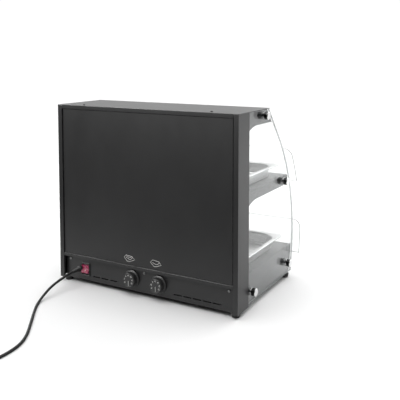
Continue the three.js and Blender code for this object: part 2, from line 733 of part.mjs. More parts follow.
// The spare length lies in a round coil, tied as for storage.
const COIL = { x: 126, y: 655, inner: 28, outer: 49, layers: 2 };
const PLUG = { x: 150, y: 697, radius: 18.4 };

function leadTube() {
  const points = LEAD_POINTS.map(([x, y, z]) => new THREE.Vector3(x, y, z));
  return rod(new THREE.CatmullRomCurve3(points, false, 'centripetal'), LEAD_RADIUS, 8, 34);
}

function coilRing() {
  const top = COIL.layers * 2 * LEAD_RADIUS;
  const profile = [[COIL.inner, 0], [COIL.outer, 0], [COIL.outer, top], [COIL.inner, top], [COIL.inner, 0]];
  return turned(profile, 32, at(COIL.x, COIL.y, 0, new THREE.Euler(Math.PI / 2, 0, 0)));
}

// A two-pin mains plug lying on its side: tapered relief, moulded body and two pins.
function mainsPlug() {
  const { radius } = PLUG;
  const profile = [
    [0, 0], [4, 0], [6.5, 22], [12, 26], [radius - 0.8, 32], [radius, 46], [radius, 60], [0, 60],
  ];
  const body = turned(profile, 24, new THREE.Matrix4());
  const pins = [-9.5, 9.5].map((x) => bar(2.4, 22, 'y', { x, y: 68, z: 0 }, 12));
  return join([body, ...pins]).rotateZ(-Math.PI / 2).translate(PLUG.x, PLUG.y, radius);
}

addPiece('mains_lead', leadTube(), darkRubber(), group);
addPiece('mains_lead_coil', coilRing(), darkRubber(), group);
addPiece('mains_plug', mainsPlug(), blackPlastic(), group);

export default group;
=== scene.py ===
"""Looks of the counter-top hot food display case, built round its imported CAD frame.

Everything is in metres in the shared frame: +Z up, -Y the customer's side, +Y the operator's side with
the controls, +X the operator's left. Sizes are written in millimetres and turned into metres by MM.
"""

import math

import bmesh
import bpy
from mathutils import Matrix, Vector


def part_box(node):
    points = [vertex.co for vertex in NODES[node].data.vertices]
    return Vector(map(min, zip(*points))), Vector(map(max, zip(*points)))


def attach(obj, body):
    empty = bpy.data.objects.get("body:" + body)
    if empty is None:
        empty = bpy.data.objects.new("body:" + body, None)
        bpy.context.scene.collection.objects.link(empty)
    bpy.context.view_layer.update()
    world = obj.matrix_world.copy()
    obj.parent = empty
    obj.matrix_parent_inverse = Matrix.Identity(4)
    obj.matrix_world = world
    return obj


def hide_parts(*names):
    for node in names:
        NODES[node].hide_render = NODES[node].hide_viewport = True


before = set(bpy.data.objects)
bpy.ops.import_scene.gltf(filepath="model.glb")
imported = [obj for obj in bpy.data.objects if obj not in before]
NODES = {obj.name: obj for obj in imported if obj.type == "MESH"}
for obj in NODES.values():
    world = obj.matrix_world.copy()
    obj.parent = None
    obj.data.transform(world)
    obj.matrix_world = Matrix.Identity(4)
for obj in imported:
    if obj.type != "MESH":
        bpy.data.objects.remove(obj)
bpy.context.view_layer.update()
MM = 0.001
CASE = "case"
SAME_PLACE = 1e-7                   # corners of a new mesh nearer than this are one corner
SEAM = 1e-6                         # and so are those of a CAD mesh

# The frame's own places that the looks are worked out from.
PANEL_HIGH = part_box("rear_panel")[1]
STRIP_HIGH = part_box("control_strip")[1]
STRIP_FACE = STRIP_HIGH.y - 12 * MM     # the control strip is set back behind its rail


def middle(node):
    """The centre of a CAD node's box."""
    low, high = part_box(node)
    return (low + high) / 2


def linked(name, data):
    """A new object of the scene."""
    thing = bpy.data.objects.new(name, data)
    bpy.context.scene.collection.objects.link(thing)
    return thing


def aimed(thing, place, direction):
    """Puts a camera or a lamp at a place, looking along a direction."""
    thing.location = place
    thing.rotation_mode = "QUATERNION"
    thing.rotation_quaternion = direction.to_track_quat("-Z", "Y")


# ---- camera ---------------------------------------------------------------------------------------
CAMERA_PLACE = Vector((-0.941, 1.5365, 0.661))
CAMERA_TURN = math.radians(29.44)   # from -Y towards +X
CAMERA_DIP = math.radians(4.40)     # below the horizon
CAMERA_LENS = 56.5
CAMERA_SENSOR = 36
CAMERA_SHIFT = -0.25


def make_camera():
    """The view of the operator's rear side that the case is shown in."""
    data = bpy.data.cameras.new("camera")
    data.lens = CAMERA_LENS
    data.sensor_width = CAMERA_SENSOR
    data.shift_y = CAMERA_SHIFT
    camera = linked("camera", data)
    level = math.cos(CAMERA_DIP)
    ahead = Vector((math.sin(CAMERA_TURN) * level, -math.cos(CAMERA_TURN) * level, -math.sin(CAMERA_DIP)))
    aimed(camera, CAMERA_PLACE, ahead)
    bpy.context.scene.camera = camera


# ---- meshes ---------------------------------------------------------------------------------------
def new_object(name, mesh, material, body=CASE):
    """Links a mesh as a piece that rides on a body."""
    piece = linked(name, mesh)
    mesh.materials.clear()
    mesh.materials.append(material)
    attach(piece, body)
    return piece


def mesh_from(name, vertices, faces, smooth=True):
    mesh = bpy.data.meshes.new(name)
    mesh.from_pydata([tuple(v) for v in vertices], [], faces)
    working = bmesh.new()
    working.from_mesh(mesh)
    bmesh.ops.remove_doubles(working, verts=working.verts, dist=SAME_PLACE)
    bmesh.ops.recalc_face_normals(working, faces=working.faces)
    working.to_mesh(mesh)
    working.free()
    for polygon in mesh.polygons:
        polygon.use_smooth = smooth
    return mesh


def even_shading(piece):
    """Weighs a piece's normals by the size of its faces."""
    piece.modifiers.new("even_shading", "WEIGHTED_NORMAL").keep_sharp = False


BEVEL_SEGMENTS = 2
BEVEL_ANGLE = math.radians(30)      # edges that turn by less stay as they are


def soften(piece, width, edge_material=None):
    """Rounds a piece's edges and evens its shading, without touching its mesh."""
    bevel = piece.modifiers.new("rounded_edges", "BEVEL")
    bevel.width = width
    bevel.segments = BEVEL_SEGMENTS
    bevel.limit_method = "ANGLE"
    bevel.angle_limit = BEVEL_ANGLE
    bevel.harden_normals = False
    if edge_material is not None:
        piece.data.materials.append(edge_material)
        bevel.material = len(piece.data.materials) - 1
    even_shading(piece)


def turned_mesh(name, profile, place, axis, segments=64, flutes=None):
    """Turns a profile of (radius, along) pairs, in metres, about an axis through place.

    flutes is (count, depth, from, to): a ripple of that depth on the points between those distances.
    """
    turn = Vector(axis).to_track_quat("Z", "Y").to_matrix()
    vertices, rings, faces = [], [], []
    for radius, along in profile:
        if radius < 1e-9:
            rings.append([len(vertices)])
            vertices.append(place + turn @ Vector((0, 0, along)))
            continue
        ring = []
        for i in range(segments):
            angle = 2 * math.pi * i / segments
            reach = radius
            if flutes and flutes[2] <= along <= flutes[3]:
                reach -= flutes[1] * (0.5 + 0.5 * math.cos(flutes[0] * angle))
            ring.append(len(vertices))
            vertices.append(place + turn @ Vector((reach * math.cos(angle), reach * math.sin(angle), along)))
        rings.append(ring)
    for low, high in zip(rings, rings[1:]):
        for i in range(segments):
            j = (i + 1) % segments
            if len(low) == 1 and len(high) == 1:
                break
            if len(low) == 1:
                faces.append((low[0], high[i], high[j]))
            elif len(high) == 1:
                faces.append((low[i], low[j], high[0]))
            else:
                faces.append((low[i], low[j], high[j], high[i]))
    return mesh_from(name, vertices, faces)


def rounded(points, radius, steps=4):
    """A profile with each inner corner of its points replaced by a small arc."""
    result = [points[0]]
    for before, corner, after in zip(points, points[1:], points[2:]):
        a, b, c = Vector(before), Vector(corner), Vector(after)
        room = min(radius, 0.45 * (b - a).length, 0.45 * (c - b).length)
        start = b + (a - b).normalized() * room
        end = b + (c - b).normalized() * room
        for i in range(steps + 1):
            t = i / steps
            result.append(tuple((1 - t) ** 2 * start + 2 * t * (1 - t) * b + t ** 2 * end))
    result.append(points[-1])
    return result


def in_metres(profile):
    return [(radius * MM, along * MM) for radius, along in profile]


def joined(name, meshes):
    """One mesh out of several, which are removed."""
    working = bmesh.new()
    for mesh in meshes:
        working.from_mesh(mesh)
        bpy.data.meshes.remove(mesh)
    result = bpy.data.meshes.new(name)
    working.to_mesh(result)
    working.free()
    return result


def carved(name, mesh, cutters):
    """The mesh with each cutter mesh taken out of it."""
    blank = linked(name, mesh)
    helpers = []
    for i, cutter in enumerate(cutters):
        helper = linked(f"{name}_cutter_{i}", cutter)
        helpers.append(helper)
        boolean = blank.modifiers.new(helper.name, "BOOLEAN")
        boolean.object = helper
        boolean.operation = "DIFFERENCE"
        boolean.solver = "EXACT"
    bpy.context.view_layer.update()
    evaluated = blank.evaluated_get(bpy.context.evaluated_depsgraph_get())
    result = bpy.data.meshes.new_from_object(evaluated)
    for helper in [blank, *helpers]:
        data = helper.data
        bpy.data.objects.remove(helper)
        bpy.data.meshes.remove(data)
    result.name = name
    return result


# ---- material nodes ------------------------------------------------------------------------------
NOISE_ROUGHNESS = 0.55


class Nodes:
    """A material's node tree, with short calls for the nodes that the finishes share."""

    def __init__(self, name):
        self.material = bpy.data.materials.new(name)
        self.material.use_nodes = True
        self.tree = self.material.node_tree
        self.shader = self.tree.nodes["Principled BSDF"]
        self.output = self.tree.nodes["Material Output"]
        self.places = self.tree.nodes.new("ShaderNodeTexCoord").outputs["Object"]

    def link(self, source, target):
        self.tree.links.new(source, target)

    def noise(self, scale, detail=3.0, stretch=(1, 1, 1)):
        mapping = self.tree.nodes.new("ShaderNodeMapping")
        mapping.inputs["Scale"].default_value = stretch
        self.link(self.places, mapping.inputs["Vector"])
        node = self.tree.nodes.new("ShaderNodeTexNoise")
        node.inputs["Scale"].default_value = scale
        node.inputs["Detail"].default_value = detail
        node.inputs["Roughness"].default_value = NOISE_ROUGHNESS
        self.link(mapping.outputs["Vector"], node.inputs["Vector"])
        return node.outputs["Fac"]

    def ranged(self, value, low, high, from_low=0.3, from_high=0.7):
        node = self.tree.nodes.new("ShaderNodeMapRange")
        node.inputs["From Min"].default_value = from_low
        node.inputs["From Max"].default_value = from_high
        node.inputs["To Min"].default_value = low
        node.inputs["To Max"].default_value = high
        self.link(value, node.inputs["Value"])
        return node.outputs["Result"]

    def blended(self, share, first, second):
        node = self.tree.nodes.new("ShaderNodeMix")
        node.data_type = "RGBA"
        node.inputs["A"].default_value = (*first, 1)
        node.inputs["B"].default_value = (*second, 1)
        self.link(share, node.inputs["Factor"])
        return node.outputs["Result"]

    def bumped(self, height, strength, distance):
        node = self.tree.nodes.new("ShaderNodeBump")
        node.inputs["Strength"].default_value = strength
        node.inputs["Distance"].default_value = distance
        self.link(height, node.inputs["Height"])
        return node.outputs["Normal"]

    def finish(self, colour=None, roughness=None, normal=None, **plain):
        for socket, source in (("Base Color", colour), ("Roughness", roughness), ("Normal", normal)):
            if source is not None:
                self.link(source, self.shader.inputs[socket])
        for socket, value in plain.items():
            self.shader.inputs[socket.replace("_", " ")].default_value = value
        return self.material


def powder_coat():
    """Satin black powder coat: fine orange peel, faint cloudiness and handling marks."""
    nodes = Nodes("black_powder_coat")
    peel = nodes.noise(1100, 2)
    clouds = nodes.noise(7, 4)
    smears = nodes.noise(26, 5, stretch=(1, 1, 0.35))
    colour = nodes.blended(nodes.ranged(clouds, 0, 1), (0.0075, 0.0075, 0.008), (0.0125, 0.0125, 0.013))
    rough = nodes.ranged(smears, 0.35, 0.37)
    fine = nodes.bumped(peel, 0.12, 0.00006)
    return nodes.finish(colour, rough, fine, IOR=1.5)


def coat_edge():
    """The coat on folded edges, rubbed a little brighter."""
    nodes = Nodes("black_coat_edge")
    rub = nodes.noise(160, 4)
    colour = nodes.blended(nodes.ranged(rub, 0, 1, 0.45, 0.75), (0.022, 0.022, 0.023), (0.075, 0.075, 0.078))
    rough = nodes.ranged(rub, 0.42, 0.3)
    return nodes.finish(colour, rough, nodes.bumped(nodes.noise(1100, 2), 0.1, 0.00006), IOR=1.5)


def rail_highlight_paint():
    """The coat along the top of the strip's rail, painted pale: a painted highlight of the light that its
    folded edge catches.
    """
    nodes = Nodes("rail_highlight_paint")
    highlight_streaks = nodes.noise(70, 5, stretch=(0.3, 1, 1))
    colour = nodes.blended(nodes.ranged(highlight_streaks, 0, 1), (0.13, 0.13, 0.13), (0.34, 0.34, 0.34))
    return nodes.finish(colour, nodes.ranged(highlight_streaks, 0.4, 0.28), nodes.bumped(highlight_streaks, 0.1, 0.00005), IOR=1.5)


def clear_material(name, tint, through=1.0, edge=None):
    """Clear sheet: straight see-through with a mirror share that grows towards grazing angles."""
    nodes = Nodes(name)
    tree = nodes.tree
    tree.nodes.remove(nodes.shader)
    clear = tree.nodes.new("ShaderNodeBsdfTransparent")
    clear.inputs["Color"].default_value = (*tint, 1)
    mirror = tree.nodes.new("ShaderNodeBsdfGlossy")
    mirror.inputs["Color"].default_value = (0.97, 0.98, 0.98, 1)
    marks = nodes.noise(55, 5, stretch=(1, 1, 0.5))
    nodes.link(nodes.ranged(marks, 0.015, 0.055), mirror.inputs["Roughness"])
    facing = tree.nodes.new("ShaderNodeLayerWeight")
    facing.inputs["Blend"].default_value = 0.5
    steep = tree.nodes.new("ShaderNodeMath")
    steep.operation = "POWER"
    steep.inputs[1].default_value = 5
    nodes.link(facing.outputs["Facing"], steep.inputs[0])
    share = nodes.ranged(steep.outputs[0], 0.04, 1.0, 0, 1)
    mixed = tree.nodes.new("ShaderNodeMixShader")
    nodes.link(share, mixed.inputs[0])
    nodes.link(clear.outputs[0], mixed.inputs[1])
    nodes.link(mirror.outputs[0], mixed.inputs[2])
    surface = mixed.outputs[0]
    if edge is not None:
        body = tree.nodes.new("ShaderNodeBsdfDiffuse")
        body.inputs["Color"].default_value = (*edge, 1)
        milky = tree.nodes.new("ShaderNodeMixShader")
        milky.inputs[0].default_value = 1 - through
        nodes.link(surface, milky.inputs[1])
        nodes.link(body.outputs[0], milky.inputs[2])
        surface = milky.outputs[0]
    nodes.link(surface, nodes.output.inputs["Surface"])
    return nodes.material


def brushed_stainless():
    """Pressed stainless: long fine brush lines with faint water marks."""
    nodes = Nodes("brushed_stainless")
    lines = nodes.noise(420, 3, stretch=(0.02, 1, 1))
    marks = nodes.noise(14, 4)
    colour = nodes.blended(nodes.ranged(marks, 0, 1), (0.60, 0.60, 0.595), (0.70, 0.70, 0.70))
    rough = nodes.ranged(lines, 0.24, 0.38)
    return nodes.finish(colour, rough, nodes.bumped(lines, 0.08, 0.00004), Metallic=1.0)


def plated_steel(name, dark, light, rough_low, rough_high):
    nodes = Nodes(name)
    marks = nodes.noise(300, 4)
    colour = nodes.blended(nodes.ranged(marks, 0, 1), (dark,) * 3, (light,) * 3)
    rough = nodes.ranged(marks, rough_low, rough_high)
    return nodes.finish(colour, rough, nodes.bumped(marks, 0.05, 0.00003), Metallic=1.0)


def moulded_plastic(name, dark, light, rough_low, rough_high, grain):
    nodes = Nodes(name)
    spots = nodes.noise(grain, 2)
    clouds = nodes.noise(60, 3)
    colour = nodes.blended(nodes.ranged(clouds, 0, 1), dark, light)
    rough = nodes.ranged(clouds, rough_low, rough_high)
    return nodes.finish(colour, rough, nodes.bumped(spots, 0.2, 0.00004), IOR=1.48)


def black_rubber():
    nodes = Nodes("black_rubber")
    dust = nodes.noise(90, 5)
    grain = nodes.noise(1500, 2)
    colour = nodes.blended(nodes.ranged(dust, 0, 1, 0.4, 0.75), (0.009, 0.009, 0.009), (0.022, 0.022, 0.022))
    rough = nodes.ranged(dust, 0.5, 0.7)
    return nodes.finish(colour, rough, nodes.bumped(grain, 0.25, 0.00004), IOR=1.45)


def red_lens():
    """Translucent red rocker: darker deep inside, with fine moulding ripple."""
    nodes = Nodes("red_lens")
    depth = nodes.noise(130, 3)
    colour = nodes.blended(nodes.ranged(depth, 0, 1), (0.36, 0.022, 0.085), (0.56, 0.05, 0.15))
    rough = nodes.ranged(nodes.noise(260, 2), 0.16, 0.26)
    return nodes.finish(
        colour, rough, nodes.bumped(depth, 0.05, 0.0001), IOR=1.52, Subsurface_Weight=0.35,
        Subsurface_Radius=(0.004, 0.0012, 0.0016), Subsurface_Scale=1.0, Coat_Weight=0.4,
    )


def white_print():
    """Screen-printed marks, slightly uneven in cover."""
    nodes = Nodes("white_print")
    cover = nodes.noise(900, 3)
    colour = nodes.blended(nodes.ranged(cover, 0, 1), (0.62, 0.62, 0.60), (0.80, 0.80, 0.78))
    return nodes.finish(colour, nodes.ranged(cover, 0.45, 0.6), IOR=1.45)


def turned_brass():
    nodes = Nodes("turned_brass")
    rings = nodes.noise(700, 2, stretch=(0.2, 1, 0.2))
    colour = nodes.blended(nodes.ranged(rings, 0, 1), (0.55, 0.39, 0.15), (0.72, 0.55, 0.26))
    rough = nodes.ranged(rings, 0.25, 0.38)
    return nodes.finish(colour, rough, nodes.bumped(rings, 0.1, 0.00003), Metallic=1.0)


def white_ceramic():
    nodes = Nodes("white_ceramic")
    specks = nodes.noise(500, 4)
    colour = nodes.blended(nodes.ranged(specks, 0, 1), (0.68, 0.65, 0.58), (0.80, 0.78, 0.72))
    return nodes.finish(colour, nodes.ranged(specks, 0.6, 0.8), nodes.bumped(specks, 0.1, 0.00005))


def heater_steel():
    """Element sheath: heat-tinted stainless."""
    nodes = Nodes("heater_sheath")
    tint = nodes.noise(22, 4)
    colour = nodes.blended(nodes.ranged(tint, 0, 1), (0.30, 0.26, 0.20), (0.46, 0.44, 0.42))
    rough = nodes.ranged(tint, 0.35, 0.5)
    return nodes.finish(colour, rough, nodes.bumped(nodes.noise(800), 0.1, 0.00003), Metallic=1.0)


COAT = powder_coat()
COAT_EDGE = coat_edge()
# pale coat painted on the rail's top edge as a painted highlight
RAIL_HIGHLIGHT_PAINT = rail_highlight_paint()
CLEAR = clear_material("clear_sheet", (0.98, 0.985, 0.985))
PANEL_EDGE = clear_material("clear_panel_edge", (0.80, 0.83, 0.83), 0.45, (0.24, 0.25, 0.25))
GUARD_EDGE = clear_material("clear_guard_edge", (0.70, 0.72, 0.72), 0.12, (0.09, 0.095, 0.095))
STAINLESS = brushed_stainless()
POLISHED = plated_steel("polished_steel", 0.70, 0.80, 0.06, 0.16)
SCREW_STEEL = plated_steel("dull_screw_steel", 0.22, 0.34, 0.3, 0.45)
# near-black steel for the cap nuts' side walls: a painted dark reflection of the black panel that the
# polished walls mirror
NUT_WALL_PAINTED_REFLECTION = plated_steel("nut_wall_painted_reflection", 0.05, 0.10, 0.12, 0.24)
PLASTIC = moulded_plastic("black_plastic", (0.010, 0.010, 0.010), (0.017, 0.017, 0.017), 0.34, 0.46, 1600)
DIAL_FACE = moulded_plastic("dial_plastic", (0.016, 0.016, 0.016), (0.024, 0.024, 0.024), 0.42, 0.5, 1800)
RUBBER = black_rubber()
LENS = red_lens()
PRINT = white_print()
BRASS = turned_brass()
CERAMIC = white_ceramic()
HEATER = heater_steel()

# ---- mains lead ----------------------------------------------------------------------------------
LEAD_DIAMETER = 7 * MM
LEAD_POINTS = [
    (226, 202.6, 39), (226, 212, 38.4), (226, 226, 36.8), (226, 244, 34.4), (226, 262, 31.4),
    (226, 280, 27.4), (225.6, 298, 22), (224.6, 314, 15.6), (222.4, 330, 9.4), (218, 345, 5),
    (210.5, 360, 3.6), (200, 376, 3.5), (187, 394, 3.5), (172, 414, 3.5), (155, 436, 3.5),
    (137, 460, 3.5), (119, 484, 3.5), (103, 508, 3.5), (90, 533, 3.5), (81.8, 559, 3.5),
    (78.6, 586, 3.5), (78.8, 608, 3.5), (80.2, 629, 3.5),
]
COIL_CENTRE = Vector((126, 655))
# The radius and height of each turn, of which the last is only a part.
COIL_ROWS = [(45.5, 3.55), (38.5, 3.55), (31.5, 3.55), (35, 9.75), (42, 9.75)]
COIL_CROSSING = math.pi             # the stretch of each turn in which the lead steps to the next row
COIL_LAST_TURN = math.pi / 2
COIL_STEP = math.radians(7.5)
COIL_LIFT_BEFORE = math.radians(60)     # how long before the coil's end the lead rises to its plug
COIL_LIFT_SPAN = math.radians(95)
PLUG_TIP = Vector((150, 697, 18.4))     # where the lead enters the plug
PLUG_RIBS = 4
PIN_PLACES = (-9.5, 9.5)


def catmull_rom(points, steps):
    """Centripetal Catmull-Rom points through a list, as the CAD lead follows."""
    ends = [2 * points[0] - points[1], *points, 2 * points[-1] - points[-2]]
    line = []
    for p0, p1, p2, p3 in zip(ends, ends[1:], ends[2:], ends[3:]):
        t0, t1 = 0.0, (p1 - p0).length ** 0.5
        t2 = t1 + (p2 - p1).length ** 0.5
        t3 = t2 + (p3 - p2).length ** 0.5
        for i in range(steps):
            t = t1 + (t2 - t1) * i / steps
            a1 = (t1 - t) / (t1 - t0) * p0 + (t - t0) / (t1 - t0) * p1
            a2 = (t2 - t) / (t2 - t1) * p1 + (t - t1) / (t2 - t1) * p2
            a3 = (t3 - t) / (t3 - t2) * p2 + (t - t2) / (t3 - t2) * p3
            b1 = (t2 - t) / (t2 - t0) * a1 + (t - t0) / (t2 - t0) * a2
            b2 = (t3 - t) / (t3 - t1) * a2 + (t - t1) / (t3 - t1) * a3
            line.append((t2 - t) / (t2 - t1) * b1 + (t - t1) / (t2 - t1) * b2)
    line.append(points[-1])
    return line


def smooth_step(t):
    t = min(max(t, 0.0), 1.0)
    return t * t * (3 - 2 * t)


def coil_points():
    """Turns of the coil, clockwise from the side where the lead arrives, in rows a diameter apart."""
    full = 2 * math.pi
    total = full * (len(COIL_ROWS) - 1) + COIL_LAST_TURN
    points = []
    for i in range(int(total / COIL_STEP) + 1):
        gone = i * COIL_STEP
        row = min(int(gone / full), len(COIL_ROWS) - 1)
        radius, height = COIL_ROWS[row]
        if row + 1 < len(COIL_ROWS):
            next_radius, next_height = COIL_ROWS[row + 1]
            share = (gone - row * full - (full - COIL_CROSSING)) / COIL_CROSSING
            climbs = next_height > height
            radius += (next_radius - radius) * smooth_step(2 * share - 1 if climbs else share)
            height += (next_height - height) * smooth_step(1.5 * share + 0.3)
        else:
            lift = smooth_step((gone - total + COIL_LIFT_BEFORE) / COIL_LIFT_SPAN)
            height += (PLUG_TIP.z - height) * lift
        angle = math.pi - gone
        points.append(Vector((
            COIL_CENTRE.x + radius * math.cos(angle), COIL_CENTRE.y + radius * math.sin(angle), height)))
    return points


def lead_line():
    """The whole lead: its hand-laid run, its coil and its short way into the plug, in metres."""
    run = catmull_rom([Vector(p) for p in LEAD_POINTS], 6)
    coil = coil_points()
    joint = catmull_rom([run[-2], run[-1], coil[1], coil[2]], 5)[5:11]
    leave = catmull_rom([coil[-2], coil[-1], PLUG_TIP - Vector((8, 0, 0.25)), PLUG_TIP], 5)[5:]
    return [p * MM for p in [*run[:-1], *joint[:-1], *coil[1:-1], *leave]]


def make_lead():
    """The lead as one round curve; gives the object and the length of its line in metres."""
    line = lead_line()
    curve = bpy.data.curves.new("mains_cable", "CURVE")
    curve.dimensions = "3D"
    curve.bevel_depth = LEAD_DIAMETER / 2
    curve.bevel_resolution = 5
    curve.use_fill_caps = True
    spline = curve.splines.new("POLY")
    spline.points.add(len(line) - 1)
    for point, place in zip(spline.points, line):
        point.co = (*place, 1)
    curve.materials.append(RUBBER)
    cable = linked("mains_cable", curve)
    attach(cable, CASE)
    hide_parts("mains_lead", "mains_lead_coil")
    return cable, sum((b - a).length for a, b in zip(line, line[1:]))


def make_plug():
    """Moulded two-pin plug with a ribbed relief, finger flats and round pins."""
    place = PLUG_TIP * MM
    body = rounded(in_metres([
        (0, 0), (4.6, 0), (5.4, 8), (6.6, 21), (11.6, 25.5), (17.4, 31.5), (18.2, 44), (17.2, 46.5),
        (17.2, 50), (18.2, 52), (18.2, 59.6), (13.6, 59.6), (13.2, 57.4), (0, 57.4),
    ]), 1.2 * MM)
    meshes = [turned_mesh("plug_body", body, place, (1, 0, 0), 72, flutes=(18, 0.7 * MM, 32 * MM, 44.5 * MM))]
    for i in range(PLUG_RIBS):
        start = (3.5 + 4.4 * i) * MM
        end = start + 2 * MM
        radius = (5.9 + 0.42 * i) * MM
        rib = rounded([(3 * MM, start), (radius, start), (radius + 0.1 * MM, end), (3 * MM, end)], 0.4 * MM)
        meshes.append(turned_mesh("rib", [(0, start), *rib, (0, end)], place, (1, 0, 0), 40))
    plug = new_object("plug_moulding", joined("plug_moulding", meshes), PLASTIC)
    pin = rounded(in_metres([(0, 50), (2.4, 50), (2.4, 77), (1.2, 78.9), (0, 78.9)]), 0.9 * MM)
    pins = [turned_mesh("pin", pin, place + Vector((0, y * MM, 0)), (1, 0, 0), 28) for y in PIN_PLACES]
    contacts = new_object("plug_pins", joined("plug_pins", pins), POLISHED)
    for piece in (plug, contacts):
        even_shading(piece)
    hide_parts("mains_plug")
    return [plug, contacts]


TIE_ANGLE = -50                     # where the strap sits on the coil, in degrees from +X


def make_tie():
    """Hook-and-loop strap that holds the coil's turns together."""
    angle = math.radians(TIE_ANGLE)
    outward = Vector((math.cos(angle), math.sin(angle), 0))
    along = Vector((-outward.y, outward.x, 0))
    centre = Vector((COIL_CENTRE.x, COIL_CENTRE.y, 0)) * MM
    loop = rounded(in_metres([
        (38, 0.45), (50, 0.45), (50.2, 9), (46, 14.2), (31, 14.2), (27, 9), (27.2, 0.45), (38, 0.45),
    ]), 3 * MM, 5)
    thick, half = 0.45 * MM, 6 * MM
    vertices, faces = [], []
    count = len(loop)
    for i, (reach, height) in enumerate(loop):
        # The loop's last point is its first again, so its neighbours skip that one.
        before = Vector(loop[i - 1 if i else count - 2])
        after = Vector(loop[i + 1 if i + 1 < count else 1])
        run = (after - before).normalized()
        out = Vector((run.y, -run.x)) * thick
        for side in (-1, 1):
            for offset in (-1, 1):
                r, z = reach + offset * out.x, max(height + offset * out.y, 0)
                vertices.append(centre + outward * r + along * side * half + Vector((0, 0, z)))
    for i in range(count - 1):
        a, b = 4 * i, 4 * (i + 1)
        for p, q in ((0, 1), (1, 3), (3, 2), (2, 0)):
            faces.append((a + p, a + q, b + q, b + p))
    tie = new_object("lead_tie", mesh_from("lead_tie", vertices, faces), RUBBER)
    return tie


RELIEF_RIBS = 7


def make_strain_relief():
    """Tapered bend relief with stepped ribs, out of a round flange on the strip."""
    centre = middle("strain_relief")
    face = STRIP_FACE + 0.3 * MM
    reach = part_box("strain_relief")[1].y - face
    profile = in_metres([(0, -13), (6.1, -13), (6.1, 0), (8.7, 0), (8.7, 2.2), (6.9, 3.4)])
    pitch = (reach - 4.5 * MM) / RELIEF_RIBS
    for i in range(RELIEF_RIBS):
        start = 4.2 * MM + i * pitch
        radius = (6.7 - 1.9 * i / (RELIEF_RIBS - 1)) * MM
        profile += [(radius, start), (radius - 0.12 * MM, start + 0.62 * pitch),
                    (radius - 1.0 * MM, start + 0.68 * pitch), (radius - 1.05 * MM, start + 0.94 * pitch)]
    profile += [(4.2 * MM, reach), (0, reach)]
    place = Vector((centre.x, face, centre.z))
    mesh = turned_mesh("bend_relief", rounded(profile, 0.35 * MM, 2), place, (0, 1, 0), 48)
    relief = new_object("bend_relief", mesh, RUBBER)
    even_shading(relief)
    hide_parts("strain_relief")
    return relief


make_camera()
cable, cable_length = make_lead()
lead_pieces = [*make_plug(), make_tie(), make_strain_relief()]


# ---- carried-over CAD nodes -----------------------------------------------------------------------
def dress(node, material, width, edge_material=None):
    """Gives a CAD node its finish, welds its shared corners and rounds its edges."""
    piece = NODES[node]
    piece.data.materials.clear()
    piece.data.materials.append(material)
    for polygon in piece.data.polygons:
        polygon.material_index = 0
        polygon.use_smooth = True
    weld = piece.modifiers.new("weld", "WELD")
    weld.merge_threshold = SEAM
    soften(piece, width, edge_material)
    return piece


COATED = [
    "left_post", "right_post", "left_cheek", "right_cheek", "rear_panel", "top_cover", "control_strip",
    "canopy_underside", "canopy_fascia", "shelf_deck", "shelf_underside", "shelf_fascia", "base_deck",
    "base_floor", "base_fascia",
]
for name in COATED:
    dress(name, COAT, 0.5 * MM, COAT_EDGE)


def paint_rail_highlight():
    """Puts the painted highlight on the upward face along the control strip's top edge."""
    strip = NODES["control_strip"].data
    strip.materials.append(RAIL_HIGHLIGHT_PAINT)
    for polygon in strip.polygons:
        if polygon.normal.z > 0.9 and polygon.center.z > STRIP_HIGH.z - 0.2 * MM:
            polygon.material_index = len(strip.materials) - 1


paint_rail_highlight()


def dress_clear(node, across, edge):
    """Clear sheet: its two broad faces are clear and its rim is the denser edge finish."""
    piece = dress(node, CLEAR, 0.35 * MM, edge)
    for polygon in piece.data.polygons:
        if abs(polygon.normal.dot(across(polygon.center))) < 0.8:
            polygon.material_index = 1


def sideways(_):
    return Vector((1, 0, 0))


# The guards follow the side panels' front arc, round this line along X.
ARC_CENTRE = Vector((0, 0.256, 0.132))


def outwards(place):
    away = place - ARC_CENTRE
    return Vector((0, away.y, away.z)).normalized()


for name in ("left_side_panel", "right_side_panel"):
    dress_clear(name, sideways, PANEL_EDGE)
for name in ("upper_front_guard", "lower_front_guard"):
    dress_clear(name, outwards, GUARD_EDGE)

for name in ("switch_housing", "upper_deck_thermostat", "lower_deck_thermostat"):
    dress(name, PLASTIC, 0.4 * MM)
for name in ("upper_deck_shaft", "lower_deck_shaft"):
    dress(name, BRASS, 0.3 * MM)
for name in ("shelf_heating_element", "base_heating_element"):
    dress(name, HEATER, 0.2 * MM)
dress("terminal_block", CERAMIC, 0.6 * MM)


# ---- trays -----------------------------------------------------------------------------------------
CORNER_STEPS = 10


def rounded_rectangle(centre, half_x, half_y, radius, z):
    """The points of one level outline with rounded corners."""
    points = []
    for sx, sy, start in ((1, 1, 0), (-1, 1, 90), (-1, -1, 180), (1, -1, 270)):
        for i in range(CORNER_STEPS + 1):
            angle = math.radians(start + 90 * i / CORNER_STEPS)
            points.append(Vector((
                centre.x + sx * (half_x - radius) + radius * math.cos(angle),
                centre.y + sy * (half_y - radius) + radius * math.sin(angle), z)))
    return points


